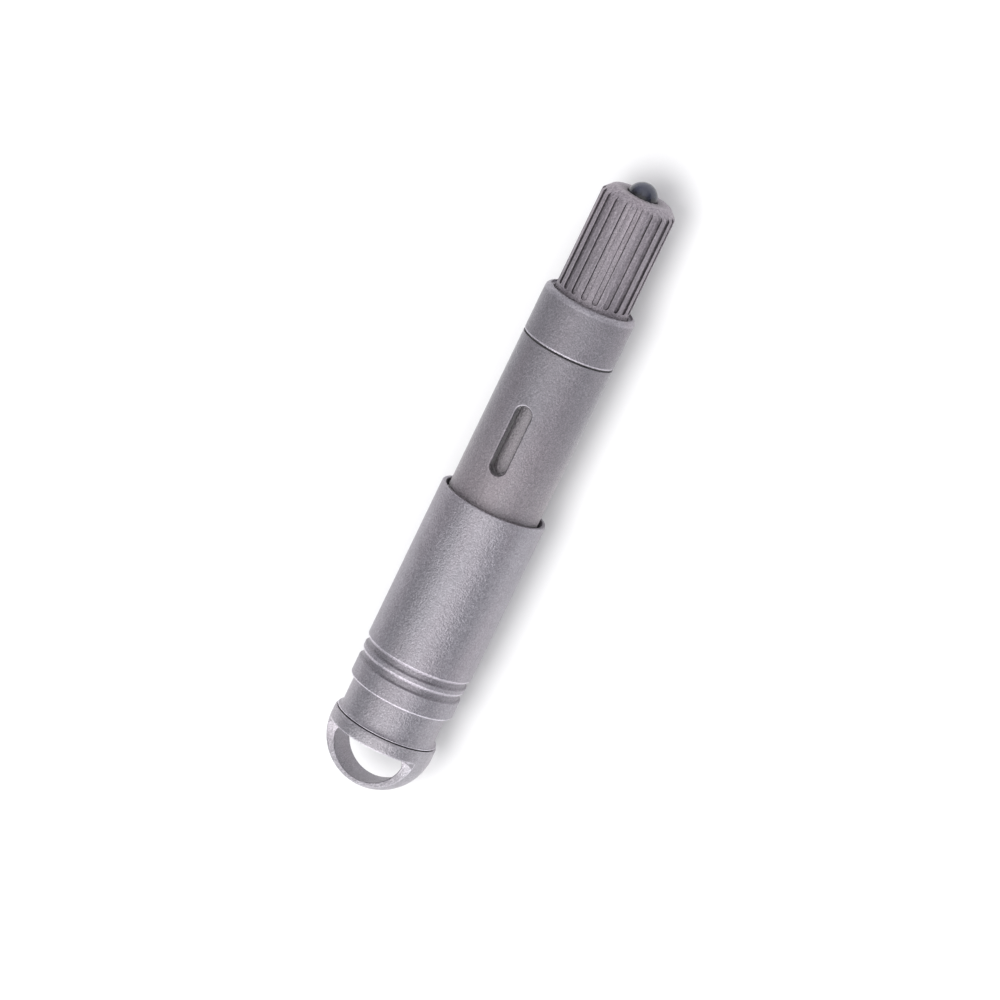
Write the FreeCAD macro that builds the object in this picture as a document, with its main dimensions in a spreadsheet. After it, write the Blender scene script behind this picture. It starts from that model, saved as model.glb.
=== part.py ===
import FreeCAD, Part
import math
import os
import re

import Sketcher

# Pocket examination penlight: a titanium pen light in a telescoping sleeve, with a
# swivelling lanyard bow at its tail and a fluted twist head with a glass dome at its nose.
#
# Design axis: every piece is drawn along +X from the bow's end (station 0) to the dome's
# tip, with its radius measured from the X axis. A piece's Placement then moves the whole
# row so that the origin is under the middle of the light, on the surface that it lies on.
# The slot in the barrel faces +Z, and the bow's eye runs along Z. Millimetres.

V = FreeCAD.Vector
os.makedirs("parts", exist_ok=True)
doc = FreeCAD.newDocument("pocket_penlight")

# ---------------------------------------------------------------------------
# Driving dimensions
# ---------------------------------------------------------------------------
SIZES = [
    ("overall_length", 108.7, "bow end to dome tip"),
    ("axis_height", 9.05, "axis above the surface that the sleeve lies on"),
    # lanyard bow
    ("bow_radius", 8.88, "half-round bow and its ring"),
    ("bow_ring_start", 8.4, "underside of the ring"),
    ("eye_top", 8.1, "straight side of the eye"),
    ("bow_top", 10.6, "top face of the ring, at the swivel seam"),
    ("bow_top_radius", 8.66, "ring's top edge"),
    ("bow_half_thick", 3.7, "axis to each flat"),
    ("flat_corner", 1.9, "corner of the flats under the ring"),
    ("flat_corner_at", 8.05, "side of the flats' corner, from the axis"),
    ("eye_radius", 6.3, "round side of the eye"),
    ("eye_station", 7.7, "centre of the eye's round side"),
    ("eye_corner", 1.6, "corner of the eye"),
    ("eye_edge", 0.15, "rounded edges of the eye"),
    ("flat_edge", 0.15, "rounded edges of the band"),
    ("hub_radius", 5.0, "swivel hub"),
    ("hub_end", 13.45, "end of the swivel hub"),
    ("hub_hole", 1.6, "hole for the screw's shoulder"),
    ("screw_well", 2.6, "counterbore for the screw's head"),
    ("screw_well_floor", 10.1, "floor of the counterbore"),
    # tail cap
    ("cap_start", 10.8, "lower face, at the swivel seam"),
    ("flare_radius", 8.62, "edge of the flare"),
    ("flare_end", 11.75, "where the flare meets the neck"),
    ("flare_fillet", 0.9, "concave radius of the flare"),
    ("neck_radius", 8.05, "visible neck"),
    ("sleeve_start", 16.4, "end face of the sleeve"),
    ("cap_thread_radius", 7.35, "threaded spigot in the sleeve"),
    ("cap_end", 24.0, "inner end of the spigot"),
    ("hub_recess", 5.05, "recess that the hub turns in"),
    ("recess_floor", 14.0, "floor of the hub's recess"),
    ("tapped_radius", 1.5, "tapped hole"),
    ("tapped_end", 20.0, "bottom of the tapped hole"),
    ("cap_groove_start", 17.0, "seal groove"),
    ("cap_groove_end", 18.3, "seal groove"),
    ("cap_groove_floor", 6.45, "seal groove"),
    ("cap_well", 5.6, "well for the bumper's boss"),
    ("cap_well_floor", 21.0, "floor of that well"),
    # swivel
    ("screw_head_start", 8.55, "screw head"),
    ("screw_head_end", 10.05, "screw head"),
    ("screw_head_radius", 2.5, "screw head"),
    ("screw_shoulder", 1.52, "shoulder that the bow turns on"),
    ("screw_thread", 1.45, "thread"),
    ("screw_end", 19.5, "end of the screw"),
    ("screw_socket", 0.87, "corner radius of the hexagon socket"),
    ("screw_socket_deep", 0.9, "depth of the socket"),
    ("washer_start", 13.5, "slip washer"),
    ("washer_radius", 4.9, "slip washer"),
    # sleeve
    ("sleeve_radius", 9.05, "grip of the sleeve"),
    ("sleeve_low_radius", 8.9, "below the grooves"),
    ("sleeve_bore", 8.35, "bore that the guide ring runs in"),
    ("sleeve_thread_bore", 7.4, "threaded bore for the tail cap"),
    ("sleeve_step", 24.5, "end of the threaded bore"),
    ("sleeve_end", 51.4, "open lip"),
    ("lip_round", 0.35, "rounded edge of the lip"),
    ("groove_a_start", 19.55, "lower turned groove"),
    ("groove_a_end", 20.86, "lower turned groove"),
    ("groove_b_start", 21.85, "upper turned groove"),
    ("groove_b_end", 23.16, "upper turned groove"),
    ("groove_round", 0.74, "radius of the grooving tool"),
    ("bumper_radius", 6.6, "rubber stop"),
    ("bumper_end", 25.0, "face of the rubber stop"),
    ("bush_start", 46.7, "gland bush"),
    ("bush_end", 50.2, "gland bush"),
    ("bush_bore", 7.86, "bore that the barrel runs in"),
    # guide ring
    ("ring_start", 34.9, "split guide ring"),
    ("ring_end", 38.3, "split guide ring"),
    ("ring_bore", 7.38, "round the barrel's groove"),
    ("ring_radius", 8.28, "in the sleeve's bore"),
    ("ring_split", 1.0, "gap of the split"),
    # barrel
    ("barrel_start", 34.0, "tail end"),
    ("barrel_radius", 7.8, "outside"),
    ("barrel_bore", 5.8, "inside"),
    ("barrel_groove_start", 34.8, "groove for the guide ring"),
    ("barrel_groove_end", 38.4, "groove for the guide ring"),
    ("barrel_groove_floor", 7.3, "groove for the guide ring"),
    ("barrel_shoulder", 79.03, "shoulder at the collar seam"),
    ("nose_radius", 6.9, "threaded nose in the collar"),
    ("nose_end", 82.0, "end of the nose"),
    ("nose_groove_start", 79.4, "seal groove"),
    ("nose_groove_end", 80.3, "seal groove"),
    ("nose_groove_floor", 6.2, "seal groove"),
    ("slot_start", 57.16, "long slot"),
    ("slot_end", 69.3, "long slot"),
    ("slot_width", 2.8, "long slot"),
    ("slot_edge", 0.25, "bevel round the slot's mouth"),
    # collar
    ("collar_start", 79.17, "lower face, at the seam"),
    ("collar_radius", 7.8, "outside"),
    ("collar_corner", 86.95, "where the rounded top begins"),
    ("collar_end", 87.5, "top face"),
    ("collar_top_radius", 6.95, "edge of the top face"),
    ("collar_thread_bore", 6.95, "threaded bore for the barrel's nose"),
    ("collar_step", 82.15, "end of that bore"),
    ("collar_bore", 6.5, "threaded bore for the head"),
    ("collar_groove_start", 85.0, "seal groove"),
    ("collar_groove_end", 86.1, "seal groove"),
    ("collar_groove_floor", 7.25, "seal groove"),
    # cell compartment
    ("plug_start", 34.4, "tail plug"),
    ("plug_end", 38.6, "tail plug"),
    ("plug_radius", 5.75, "tail plug"),
    ("plug_groove_start", 35.6, "seal groove"),
    ("plug_groove_end", 36.7, "seal groove"),
    ("plug_groove_floor", 4.95, "seal groove"),
    ("plug_slot_width", 1.1, "screwdriver slot"),
    ("plug_slot_deep", 0.8, "screwdriver slot"),
    ("seat_end", 39.1, "negative contact disc"),
    ("seat_radius", 5.7, "negative contact disc"),
    ("inner_tube_start", 39.2, "inner tube"),
    ("inner_tube_end", 87.4, "front edge, where the ground ring lands"),
    ("inner_tube_radius", 5.75, "inner tube"),
    ("inner_tube_bore", 5.35, "inner tube"),
    ("spring_radius", 3.7, "coil, to the wire's centre"),
    ("spring_wire", 0.3, "half the wire's thickness"),
    ("spring_turns", 3.5, "turns of the coil"),
    ("cell_start", 43.05, "negative end of the cell"),
    ("cell_length", 44.5, "standard cell, button included"),
    ("cell_radius", 5.25, "standard cell"),
    ("button_height", 1.0, "positive cap"),
    ("button_radius", 1.9, "positive cap"),
    ("insulator_radius", 4.4, "ring round the cap"),
    ("insulator_thick", 0.35, "ring round the cap"),
    # head
    ("skirt_start", 82.7, "threaded skirt"),
    ("skirt_radius", 6.42, "threaded skirt"),
    ("skirt_end", 86.9, "threaded skirt"),
    ("skirt_bore", 5.85, "bore round the inner tube"),
    ("skirt_step", 88.0, "end of that bore"),
    ("head_radius", 6.3, "outside of the fluted head"),
    ("flute_start", 88.5, "run-out of the flutes"),
    ("flute_width", 0.95, "flute"),
    ("flute_floor", 5.9, "axis to the flute's floor"),
    ("flute_count", 20, "flutes"),
    ("flute_turn", -1.8, "clocking of the first flute about the axis, from the slot's side, in degrees"),
    ("bevel_start", 105.05, "lower edge of the bevelled nose"),
    ("face_station", 106.5, "front face"),
    ("face_radius", 4.95, "edge of the front face"),
    ("driver_bore", 5.2, "seat of the driver board"),
    ("driver_step", 90.2, "end of that seat"),
    ("optic_bore", 4.6, "seat of heat sink and reflector"),
    ("optic_step", 101.9, "end of that seat"),
    ("flange_bore", 3.5, "seat of the lens flange"),
    ("flange_step", 103.6, "end of that seat"),
    ("nose_hole", 2.62, "hole round the dome"),
    # optics and electronics
    ("retainer_start", 87.95, "ground ring"),
    ("retainer_end", 89.15, "ground ring"),
    ("retainer_radius", 5.15, "ground ring"),
    ("retainer_bore", 3.4, "ground ring"),
    ("driver_start", 89.2, "driver board"),
    ("driver_end", 90.15, "driver board"),
    ("driver_radius", 5.15, "driver board"),
    ("contact_start", 87.6, "positive stud"),
    ("contact_radius", 1.3, "positive stud"),
    ("sink_start", 90.2, "heat sink"),
    ("sink_end", 94.5, "heat sink"),
    ("sink_radius", 4.55, "heat sink"),
    ("led_board_end", 95.4, "light board"),
    ("led_board_radius", 4.5, "light board"),
    ("led_base", 1.8, "side of the emitter's base"),
    ("led_base_end", 95.9, "emitter's base"),
    ("led_dome", 0.75, "emitter's dome"),
    ("reflector_start", 95.4, "reflector"),
    ("reflector_end", 101.0, "reflector"),
    ("reflector_radius", 4.55, "reflector"),
    ("reflector_mouth", 4.1, "front opening"),
    ("reflector_throat", 1.5, "rear opening"),
    ("reflector_curve", 9.0, "radius of the reflector's hollow"),
    ("lens_ring_end", 101.9, "lens retainer"),
    ("lens_ring_bore", 2.7, "lens retainer"),
    ("flange_start", 101.95, "lens flange"),
    ("flange_end", 102.8, "lens flange"),
    ("flange_radius", 3.4, "lens flange"),
    ("dome_radius", 2.49, "dome, and the lens stem"),
    # seals: cord is the section's radius
    ("cap_seal_cord", 0.46, "tail cap seal"),
    ("nose_seal_cord", 0.34, "collar seal"),
    ("head_seal_cord", 0.36, "head seal"),
    ("plug_seal_cord", 0.40, "tail plug seal"),
    ("lens_seal_cord", 0.36, "lens seal"),
]
spec = doc.addObject("Spreadsheet::Sheet", "Spec")
spec.set("A1", "name")
spec.set("B1", "value")
spec.set("C1", "what it is")
for row, (alias, value, note) in enumerate(SIZES, start=2):
    spec.set("A%d" % row, alias)
    spec.set("B%d" % row, "%g" % value if not isinstance(value, float) else repr(value))
    spec.setAlias("B%d" % row, alias)
    spec.set("C%d" % row, note)
doc.recompute()
NAMES = {alias for alias, _, _ in SIZES}


def ex(text):
    """A size expression, with each sheet name written in full."""
    return re.sub(r"[a-z_]+", lambda m: "Spec." + m.group(0) if m.group(0) in NAMES else m.group(0), str(text))


def num(text):
    return float(spec.evalExpression(re.sub(r"Spec\.", "", ex(text))))


PARTS = []


def place(obj):
    """Move a piece drawn along the design axis to its place in the row."""
    obj.setExpression(".Placement.Base.x", ex("-overall_length / 2"))
    obj.setExpression(".Placement.Base.z", ex("axis_height"))


def new_body(label):
    body = doc.addObject("PartDesign::Body", "Body_" + label)
    body.Label = label
    PARTS.append(body)
    place(body)
    return body


def origin_item(body, role):
    return [o for o in body.Origin.OriginFeatures if o.Role == role][0]


def new_sketch(body, name, role="XZ_Plane"):
    sk = body.newObject("Sketcher::SketchObject", name)
    sk.AttachmentSupport = (origin_item(body, role), [""])
    sk.MapMode = "FlatFace"
    return sk


def outline(sk, pts):
    """Closed outline. A point is (x, y) for a straight side to the next point, or
    (x, y, radius, side) for an arc to the next point; side +1 bulges to the left of
    the way of travel, -1 to its right. Every corner and radius is bound to the sheet."""
    n = len(pts)
    xy = [(num(p[0]), num(p[1])) for p in pts]
    ends = []
    for i in range(n):
        a, c = xy[i], xy[(i + 1) % n]
        if len(pts[i]) == 2:
            g = sk.addGeometry(Part.LineSegment(V(a[0], a[1], 0), V(c[0], c[1], 0)))
            ends.append((g, 1, 2))
        else:
            r, side = num(pts[i][2]), pts[i][3]
            mx, my = (a[0] + c[0]) / 2, (a[1] + c[1]) / 2
            dx, dy = c[0] - a[0], c[1] - a[1]
            half = math.hypot(dx, dy) / 2
            nx, ny = -dy / (2 * half), dx / (2 * half)  # left of the way of travel
            off = math.sqrt(max(r * r - half * half, 0.0))
            cx, cy = mx - side * nx * off, my - side * ny * off
            t0 = math.atan2(a[1] - cy, a[0] - cx)
            t1 = math.atan2(c[1] - cy, c[0] - cx)
            ccw = side < 0
            lo, hi = (t0, t1) if ccw else (t1, t0)
            while hi <= lo:
                hi += 2 * math.pi
            g = sk.addGeometry(Part.ArcOfCircle(Part.Circle(V(cx, cy, 0), V(0, 0, 1), r), lo, hi))
            ends.append((g, 1, 2) if ccw else (g, 2, 1))
            k = sk.addConstraint(Sketcher.Constraint("Radius", g, r))
            sk.setExpression("Constraints[%d]" % k, ex(pts[i][2]))
    for i in range(n):
        g0, g1 = ends[i], ends[(i + 1) % n]
        sk.addConstraint(Sketcher.Constraint("Coincident", g0[0], g0[2], g1[0], g1[1]))
    for i in range(n):
        g, p = ends[i][0], ends[i][1]
        for kind, value, text in (("DistanceX", xy[i][0], pts[i][0]), ("DistanceY", xy[i][1], pts[i][1])):
            k = sk.addConstraint(Sketcher.Constraint(kind, -1, 1, g, p, value))
            sk.setExpression("Constraints[%d]" % k, ex(text))


def turned(label, pts):
    """A piece turned about the design axis from its half outline."""
    body = new_body(label)
    sk = new_sketch(body, "Profile_" + label)
    outline(sk, pts)
    rev = body.newObject("PartDesign::Revolution", "Turned_" + label)
    rev.Profile = sk
    rev.ReferenceAxis = (sk, ["H_Axis"])
    rev.Angle = 360
    sk.Visibility = False
    doc.recompute()
    return body


def pocket(body, name, pts, role, length, both=False, reversed_=False, offset=None):
    """Cut an outline out of a body; returns the feature. The volume must fall."""
    before = body.Shape.Volume
    sk = new_sketch(body, "Sketch_" + name, role)
    if offset is not None:
        sk.setExpression(".AttachmentOffset.Base.z", ex(offset))
    outline(sk, pts)
    cut = body.newObject("PartDesign::Pocket", name)
    cut.Profile = sk
    cut.Type = "Length"
    cut.setExpression("Length", ex(length))
    if both:
        cut.Midplane = True
    cut.Reversed = reversed_
    sk.Visibility = False
    doc.recompute()
    gone = before - body.Shape.Volume
    if gone <= 1e-3:
        raise RuntimeError("pocket %s cut nothing" % name)
    return cut


def edges_where(feature, test):
    """Names of a feature's edges whose every sampled point passes the test."""
    names = []
    for k, edge in enumerate(feature.Shape.Edges, start=1):
        if edge.Length > 1e-3 and all(test(p) for p in edge.discretize(9)):
            names.append("Edge%d" % k)
    return names


def dress(body, kind, name, size, test):
    """Fillet or chamfer those edges of the body's last feature; the volume must change."""
    base = body.Tip
    before = body.Shape.Volume
    names = edges_where(base, test)
    if not names:
        raise RuntimeError("%s found no edge" % name)
    item = body.newObject("PartDesign::" + kind, name)
    item.Base = (base, names)
    item.setExpression("Radius" if kind == "Fillet" else "Size", ex(size))
    doc.recompute()
    if "Invalid" in item.State or abs(before - body.Shape.Volume) < 1e-4:
        raise RuntimeError("%s did nothing" % name)
    base.Visibility = False
    return item


def seal(label, station, radius, cord):
    """An O-ring round the design axis."""
    ring = doc.addObject("Part::Torus", "Seal_" + label)
    ring.Label = label
    ring.Placement = FreeCAD.Placement(V(0, 0, 0), FreeCAD.Rotation(V(0, 1, 0), 90))
    ring.setExpression("Radius1", ex(radius))
    ring.setExpression("Radius2", ex(cord))
    ring.setExpression(".Placement.Base.x", ex("%s - overall_length / 2" % station))
    ring.setExpression(".Placement.Base.z", ex("axis_height"))
    PARTS.append(ring)
    return ring


# ---------------------------------------------------------------------------
# Lanyard bow: half ball with a ring on top and a hub that turns in the tail cap
# ---------------------------------------------------------------------------
bow = turned("bow_blank", [
    ("0", "0", "bow_radius", 1),
    ("bow_radius", "bow_radius"),
    ("bow_top - 0.3", "bow_radius"),
    ("bow_top", "bow_top_radius"),
    ("bow_top", "hub_radius"),
    ("hub_end - 0.2", "hub_radius"),
    ("hub_end", "hub_radius - 0.2"),
    ("hub_end", "hub_hole"),
    ("screw_well_floor", "hub_hole"),
    ("screw_well_floor", "screw_well"),
    ("5", "screw_well"),
    ("5", "0"),
])
# the two flats leave a band across the half ball, below the ring
pocket(bow, "FlatUpper", [("-1", "bow_half_thick"), ("bow_ring_start", "bow_half_thick"), ("bow_ring_start", "10"), ("-1", "10")], "XZ_Plane", "24", both=True)
pocket(bow, "FlatLower", [("-1", "-10"), ("bow_ring_start", "-10"), ("bow_ring_start", "-bow_half_thick"), ("-1", "-bow_half_thick")], "XZ_Plane", "24", both=True)
# the D-shaped eye: a round side, a straight side under the ring, rounded corners
eye_half = "sqrt(eye_radius * eye_radius - (eye_station - eye_top + eye_corner) * (eye_station - eye_top + eye_corner))"
pocket(bow, "Eye", [
    ("eye_top - eye_corner", "-%s" % eye_half, "eye_radius", 1),
    ("eye_top - eye_corner", "%s" % eye_half, "eye_corner", 1),
    ("eye_top", "%s - eye_corner" % eye_half),
    ("eye_top", "-(%s - eye_corner)" % eye_half, "eye_corner", 1),
], "XY_Plane", "24", both=True)
half_thick = num("bow_half_thick")
ball = num("bow_radius")
dress(bow, "Fillet", "EyeEdges", "eye_edge", lambda p: abs(abs(p.z) - half_thick) < 1e-3 and math.hypot(p.x - num("eye_station"), p.y) < num("eye_radius") + 0.02 and p.x < num("eye_top") + 1e-3)
dress(bow, "Fillet", "BandEdges", "flat_edge", lambda p: abs(abs(p.z) - half_thick) < 1e-3 and abs(math.hypot(p.x - ball, p.y) - math.sqrt(ball * ball - half_thick * half_thick)) < 1e-3)

# the cutter of the flats leaves a rounded corner at each end, under the ring
corners = []
for hand in (1, -1):
    block = doc.addObject("Part::Box", "CornerBlock")
    block.setExpression("Length", ex("flat_corner + 0.3"))
    block.setExpression("Width", ex("flat_corner + 0.9"))
    block.setExpression("Height", ex("2 * bow_radius"))
    block.setExpression(".Placement.Base.x", ex("bow_ring_start - flat_corner"))
    block.setExpression(".Placement.Base.y", ex("flat_corner_at - flat_corner" if hand > 0 else "-(flat_corner_at + 0.9)"))
    block.setExpression(".Placement.Base.z", ex("-bow_radius"))
    cutter = doc.addObject("Part::Cylinder", "CornerCutter")
    cutter.setExpression("Radius", ex("flat_corner"))
    cutter.setExpression("Height", ex("2 * bow_radius + 2"))
    cutter.setExpression(".Placement.Base.x", ex("bow_ring_start - flat_corner"))
    cutter.setExpression(".Placement.Base.y", ex("%d * (flat_corner_at - flat_corner)" % hand))
    cutter.setExpression(".Placement.Base.z", ex("-(bow_radius + 1)"))
    left = doc.addObject("Part::Cut", "CornerLeft")
    left.Base = block
    left.Tool = cutter
    sphere = doc.addObject("Part::Sphere", "CornerBall")
    sphere.setExpression("Radius", ex("bow_radius"))
    sphere.setExpression(".Placement.Base.x", ex("bow_radius"))
    inside = doc.addObject("Part::Common", "CornerInside")
    inside.Base = left
    inside.Tool = sphere
    corners.append(inside)
    for item in (block, cutter, left, sphere, inside):
        item.Visibility = False
PARTS.remove(bow)
bow.setExpression(".Placement.Base.x", None)
bow.setExpression(".Placement.Base.z", None)
bow.Placement = FreeCAD.Placement()
whole = doc.addObject("Part::MultiFuse", "Bow")
whole.Label = "lanyard_bow"
whole.Shapes = [bow] + corners
whole.Refine = True
PARTS.append(whole)
place(whole)
doc.recompute()
if len(whole.Shape.Solids) != 1:
    raise RuntimeError("the bow's corners did not join it")


# ---------------------------------------------------------------------------
# Tail cap: flare and neck outside, threaded spigot inside the sleeve
# ---------------------------------------------------------------------------
tail_cap = turned("tail_cap", [
    ("cap_start", "hub_recess"),
    ("cap_start", "flare_radius"),
    ("cap_start + 0.11", "flare_radius", "flare_fillet", -1),
    ("flare_end", "neck_radius"),
    ("sleeve_start", "neck_radius"),
    ("sleeve_start", "cap_thread_radius"),
    ("cap_groove_start", "cap_thread_radius"),
    ("cap_groove_start", "cap_groove_floor"),
    ("cap_groove_end", "cap_groove_floor"),
    ("cap_groove_end", "cap_thread_radius"),
    ("cap_end - 0.4", "cap_thread_radius"),
    ("cap_end", "cap_thread_radius - 0.4"),
    ("cap_end", "cap_well"),
    ("cap_well_floor", "cap_well"),
    ("cap_well_floor", "0"),
    ("tapped_end", "0"),
    ("tapped_end", "tapped_radius"),
    ("recess_floor", "tapped_radius"),
    ("recess_floor", "hub_recess"),
])
seal("tail_cap_o_ring", "(cap_groove_start + cap_groove_end) / 2", "cap_thread_radius - cap_seal_cord + 0.04", "cap_seal_cord")

# Shoulder screw from the eye's side: the bow turns on its shoulder
screw = turned("swivel_screw", [
    ("screw_head_start", "0"),
    ("screw_head_start", "screw_head_radius - 0.3"),
    ("screw_head_start + 0.3", "screw_head_radius"),
    ("screw_head_end", "screw_head_radius"),
    ("screw_head_end", "screw_shoulder"),
    ("recess_floor", "screw_shoulder"),
    ("recess_floor", "screw_thread"),
    ("screw_end - 0.3", "screw_thread"),
    ("screw_end", "screw_thread - 0.3"),
    ("screw_end", "0"),
])
hexa = [("%.6f * screw_socket" % math.cos(math.radians(60 * k)), "%.6f * screw_socket" % math.sin(math.radians(60 * k))) for k in range(6)]
pocket(screw, "Socket", hexa, "YZ_Plane", "screw_socket_deep", reversed_=True, offset="screw_head_start")
turned("swivel_washer", [
    ("washer_start", "hub_hole"),
    ("washer_start", "washer_radius"),
    ("recess_floor", "washer_radius"),
    ("recess_floor", "hub_hole"),
])

# ---------------------------------------------------------------------------
# Outer sleeve: grip tube with two turned grooves, open at its lip
# ---------------------------------------------------------------------------
turned("outer_sleeve", [
    ("sleeve_start", "sleeve_thread_bore"),
    ("sleeve_start", "sleeve_low_radius - 0.12"),
    ("sleeve_start + 0.12", "sleeve_low_radius"),
    ("groove_a_start", "sleeve_low_radius", "groove_round", -1),
    ("groove_a_end", "sleeve_low_radius"),
    ("groove_b_start", "sleeve_low_radius", "groove_round", -1),
    ("groove_b_end", "sleeve_radius"),
    ("sleeve_end - lip_round", "sleeve_radius", "lip_round", 1),
    ("sleeve_end", "sleeve_radius - lip_round"),
    ("sleeve_end", "sleeve_bore + 0.12"),
    ("sleeve_end - 0.12", "sleeve_bore"),
    ("sleeve_step", "sleeve_bore"),
    ("sleeve_step", "sleeve_thread_bore"),
])
turned("bumper_pad", [
    ("cap_well_floor + 0.1", "0"),
    ("cap_well_floor + 0.1", "cap_well - 0.05"),
    ("cap_end", "cap_well - 0.05"),
    ("cap_end", "bumper_radius"),
    ("bumper_end - 0.25", "bumper_radius"),
    ("bumper_end", "bumper_radius - 0.25"),
    ("bumper_end", "0"),
])
turned("gland_bush", [
    ("bush_start", "bush_bore"),
    ("bush_start", "sleeve_bore"),
    ("bush_end", "sleeve_bore"),
    ("bush_end", "bush_bore + 0.15"),
    ("bush_end - 0.15", "bush_bore"),
])

# ---------------------------------------------------------------------------
# Guide ring: split, sprung into the barrel's groove, runs in the sleeve
# ---------------------------------------------------------------------------
ring = turned("guide_ring", [
    ("ring_start", "ring_bore"),
    ("ring_start", "ring_radius - 0.15"),
    ("ring_start + 0.15", "ring_radius"),
    ("ring_end - 0.15", "ring_radius"),
    ("ring_end", "ring_radius - 0.15"),
    ("ring_end", "ring_bore"),
])
pocket(ring, "Split", [("ring_start - 1", "-ring_split / 2"), ("ring_end + 1", "-ring_split / 2"), ("ring_end + 1", "ring_split / 2"), ("ring_start - 1", "ring_split / 2")], "XY_Plane", "10", reversed_=False)

# ---------------------------------------------------------------------------
# Barrel, with the slot through its upper wall, and the collar on its nose
# ---------------------------------------------------------------------------
barrel = turned("barrel", [
    ("barrel_start", "barrel_bore"),
    ("barrel_start", "barrel_radius - 0.3"),
    ("barrel_start + 0.3", "barrel_radius"),
    ("barrel_groove_start", "barrel_radius"),
    ("barrel_groove_start", "barrel_groove_floor"),
    ("barrel_groove_end", "barrel_groove_floor"),
    ("barrel_groove_end", "barrel_radius"),
    ("barrel_shoulder - 0.1", "barrel_radius"),
    ("barrel_shoulder", "barrel_radius - 0.1"),
    ("barrel_shoulder", "nose_radius"),
    ("nose_groove_start", "nose_radius"),
    ("nose_groove_start", "nose_groove_floor"),
    ("nose_groove_end", "nose_groove_floor"),
    ("nose_groove_end", "nose_radius"),
    ("nose_end - 0.2", "nose_radius"),
    ("nose_end", "nose_radius - 0.2"),
    ("nose_end", "barrel_bore"),
])
pocket(barrel, "Slot", [
    ("slot_start + slot_width / 2", "slot_width / 2"),
    ("slot_end - slot_width / 2", "slot_width / 2", "slot_width / 2 + 0.0001", 1),
    ("slot_end - slot_width / 2", "-slot_width / 2"),
    ("slot_start + slot_width / 2", "-slot_width / 2", "slot_width / 2 + 0.0001", 1),
], "XY_Plane", "barrel_radius + 2", reversed_=True)
outer = num("barrel_radius")
dress(barrel, "Chamfer", "SlotMouth", "slot_edge", lambda p: p.z > 0 and abs(p.y) < num("slot_width") and num("slot_start") - 0.1 < p.x < num("slot_end") + 0.1 and abs(math.hypot(p.y, p.z) - outer) < 1e-3)
turned("collar", [
    ("collar_start", "collar_thread_bore"),
    ("collar_start", "collar_radius - 0.1"),
    ("collar_start + 0.1", "collar_radius"),
    ("collar_corner", "collar_radius", "0.95", 1),
    ("collar_end", "collar_top_radius"),
    ("collar_end", "collar_bore"),
    ("collar_groove_end", "collar_bore"),
    ("collar_groove_end", "collar_groove_floor"),
    ("collar_groove_start", "collar_groove_floor"),
    ("collar_groove_start", "collar_bore"),
    ("collar_step", "collar_bore"),
    ("collar_step", "collar_thread_bore"),
])
seal("collar_o_ring", "(nose_groove_start + nose_groove_end) / 2", "collar_thread_bore - nose_seal_cord - 0.02", "nose_seal_cord")
seal("head_o_ring", "(collar_groove_start + collar_groove_end) / 2", "collar_bore + head_seal_cord", "head_seal_cord")

# ---------------------------------------------------------------------------
# Cell compartment
# ---------------------------------------------------------------------------
plug = turned("tail_plug", [
    ("plug_start", "0"),
    ("plug_start", "plug_radius - 0.2"),
    ("plug_start + 0.2", "plug_radius"),
    ("plug_groove_start", "plug_radius"),
    ("plug_groove_start", "plug_groove_floor"),
    ("plug_groove_end", "plug_groove_floor"),
    ("plug_groove_end", "plug_radius"),
    ("plug_end", "plug_radius"),
    ("plug_end", "0"),
])
pocket(plug, "DriverSlot", [("-7", "-plug_slot_width / 2"), ("7", "-plug_slot_width / 2"), ("7", "plug_slot_width / 2"), ("-7", "plug_slot_width / 2")], "YZ_Plane", "plug_slot_deep", reversed_=True, offset="plug_start")
seal("tail_plug_o_ring", "(plug_groove_start + plug_groove_end) / 2", "barrel_bore - plug_seal_cord - 0.02", "plug_seal_cord")
turned("spring_seat", [
    ("plug_end", "0"),
    ("plug_end", "seat_radius"),
    ("seat_end", "seat_radius"),
    ("seat_end", "0"),
])
turned("inner_tube", [
    ("inner_tube_start", "inner_tube_bore"),
    ("inner_tube_start", "inner_tube_radius"),
    ("inner_tube_end", "inner_tube_radius"),
    ("inner_tube_end", "inner_tube_bore"),
])
turned("battery_cell", [
    ("cell_start", "0"),
    ("cell_start", "cell_radius - 0.4"),
    ("cell_start + 0.4", "cell_radius"),
    ("cell_start + cell_length - button_height - 0.5", "cell_radius"),
    ("cell_start + cell_length - button_height", "cell_radius - 0.5"),
    ("cell_start + cell_length - button_height", "0"),
])
turned("battery_button", [
    ("cell_start + cell_length - button_height", "0"),
    ("cell_start + cell_length - button_height", "button_radius"),
    ("cell_start + cell_length - 0.25", "button_radius"),
    ("cell_start + cell_length", "button_radius - 0.25"),
    ("cell_start + cell_length", "0"),
])
turned("battery_insulator", [
    ("cell_start + cell_length - button_height", "button_radius + 0.1"),
    ("cell_start + cell_length - button_height", "insulator_radius"),
    ("cell_start + cell_length - button_height + insulator_thick", "insulator_radius"),
    ("cell_start + cell_length - button_height + insulator_thick", "button_radius + 0.1"),
])

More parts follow.
